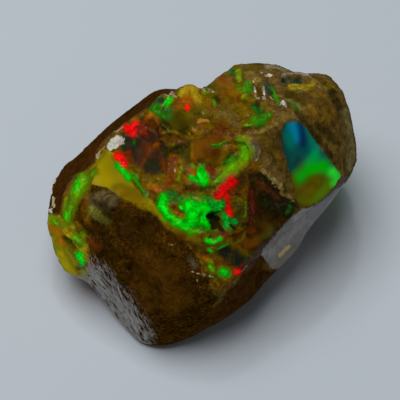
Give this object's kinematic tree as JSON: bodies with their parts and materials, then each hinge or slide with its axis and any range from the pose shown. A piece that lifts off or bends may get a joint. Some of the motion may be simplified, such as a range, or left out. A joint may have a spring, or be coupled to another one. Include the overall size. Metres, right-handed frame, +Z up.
{
  "type": "rough fire opal",
  "caption": "Palm-sized rough fire opal, broken and unpolished, with glassy opal faces, weathered rind and a flat break to lie on.",
  "frame": {"origin": "middle of the box round the stone, at the height of the flat break that it lies on", "axes": "+X along the stone's length, towards its rounded weathered end; +Z up, away from the flat break"},
  "size_m": [0.0484, 0.0352, 0.03],
  "materials": {
    "opal": "translucent honey-brown opal with play of colour, glassy on fresh breaks and matt on the weathered rind"
  },
  "bodies": {
    "root": {"rough_opal": "opal"}
  },
  "joints": []
}
